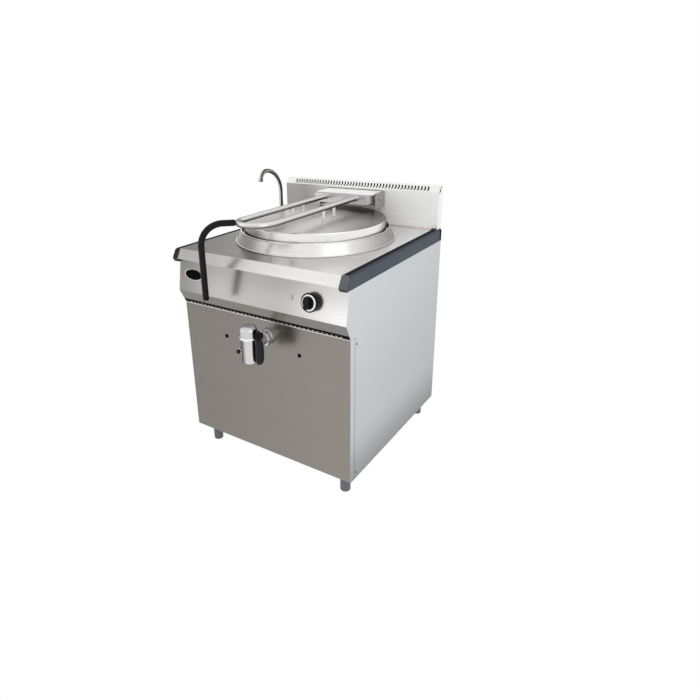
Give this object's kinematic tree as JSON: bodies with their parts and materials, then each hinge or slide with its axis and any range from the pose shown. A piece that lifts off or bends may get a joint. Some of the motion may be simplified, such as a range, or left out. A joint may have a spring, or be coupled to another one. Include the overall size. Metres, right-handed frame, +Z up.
{
  "type": "steam jacketed kettle",
  "caption": "Freestanding boiling pan: steel cabinet, jacketed round vessel under a hinged counterbalanced lid, front plug drain tap, swivel filling tap and one heat knob",
  "frame": {"origin": "on the floor under the middle of the overall footprint, drain tap included", "axes": "+Z up, -Y towards the operator, +X to the operator's right"},
  "size_m": [0.807, 0.927, 1.174],
  "materials": {
    "stainless_brushed": "brushed sheet, satin",
    "stainless_dark": "grey mill finish",
    "stainless_satin": "fine satin, half mirror",
    "chrome_plate": "bright plate",
    "black_plastic": "moulded, slightly grained",
    "white_lens": "milky lens",
    "switch_plastic": "moulded",
    "foot_steel": "turned",
    "element_steel": "heat tinted",
    "blanket": "mineral wool",
    "pipe_brass": "drawn tube"
  },
  "bodies": {
    "cabinet": {"back_panel": "stainless_brushed", "backsplash": "stainless_brushed", "base_tray": "stainless_dark", "cable_gland": "black_plastic", "control_panel": "stainless_brushed", "drain_pipe": "chrome_plate", "faucet_base": "chrome_plate", "foot_1": "foot_steel", "foot_2": "foot_steel", "foot_3": "foot_steel", "foot_4": "foot_steel", "front_panel": "stainless_brushed", "heating_element_1": "element_steel", "heating_element_2": "element_steel", "hinge_bracket": "stainless_brushed", "hole_plug_left": "chrome_plate", "hole_plug_right": "chrome_plate", "insulation": "blanket", "jacket_cock_body": "chrome_plate", "kettle_collar": "stainless_satin", "kettle_jacket": "stainless_satin", "kettle_vessel": "stainless_satin", "pilot_lamp": "white_lens", "pivot_pin_left": "chrome_plate", "pivot_pin_right": "chrome_plate", "safety_valve": "stainless_dark", "selector_switch": "switch_plastic", "side_panel_left": "stainless_brushed", "side_panel_right": "stainless_brushed", "tap_body": "chrome_plate", "tap_nut": "chrome_plate", "terminal_box": "stainless_dark", "trim_cap_left": "black_plastic", "trim_cap_right": "black_plastic", "trim_left": "stainless_dark", "trim_right": "stainless_dark", "water_pipe": "pipe_brass", "worktop": "stainless_satin"},
    "lid": {"lid_shell": "stainless_satin", "lid_arms": "stainless_satin", "lid_post_1": "stainless_satin", "lid_post_2": "stainless_satin", "lid_post_3": "stainless_satin", "lid_post_4": "stainless_satin", "handle_rod": "stainless_satin", "handle_sleeve": "black_plastic", "crossbar": "stainless_brushed", "hinge_hub": "stainless_satin", "hinge_cover": "stainless_brushed", "torsion_bar": "element_steel"},
    "drain_lever": {"drain_plug": "chrome_plate", "drain_cap": "chrome_plate", "drain_grip": "black_plastic"},
    "selector_knob": {"knob_body": "black_plastic", "knob_ring": "chrome_plate"},
    "jacket_cock": {"jacket_cock_knob": "black_plastic"},
    "water_spout": {"spout": "chrome_plate"},
    "water_lever": {"faucet_lever": "chrome_plate"}
  },
  "joints": [
    {"name": "lid_hinge", "type": "hinge", "parent": "cabinet", "child": "lid", "pos_m": [0, 0.374, 1.048], "axis": [-1, 0, 0], "range_deg": [0, 85]},
    {"name": "drain_turn", "type": "hinge", "parent": "cabinet", "child": "drain_lever", "pos_m": [0.03, -0.4305, 0.619], "axis": [0, 0, -1], "range_deg": [0, 90]},
    {"name": "knob_turn", "type": "hinge", "parent": "cabinet", "child": "selector_knob", "pos_m": [0.255, -0.34275, 0.80606], "axis": [0, 0.9849, -0.1733], "range_deg": [0, 270]},
    {"name": "cock_turn", "type": "hinge", "parent": "cabinet", "child": "jacket_cock", "pos_m": [-0.11, -0.3345, 0.526], "axis": [0, -1, 0], "range_deg": [0, 90]},
    {"name": "spout_swivel", "type": "hinge", "parent": "cabinet", "child": "water_spout", "pos_m": [-0.35, 0.3075, 0.97], "axis": [0, 0, 1], "range_deg": [-45, 60]},
    {"name": "water_turn", "type": "hinge", "parent": "cabinet", "child": "water_lever", "pos_m": [-0.35, 0.2925, 0.948], "axis": [0, -1, 0], "range_deg": [0, 90]}
  ]
}
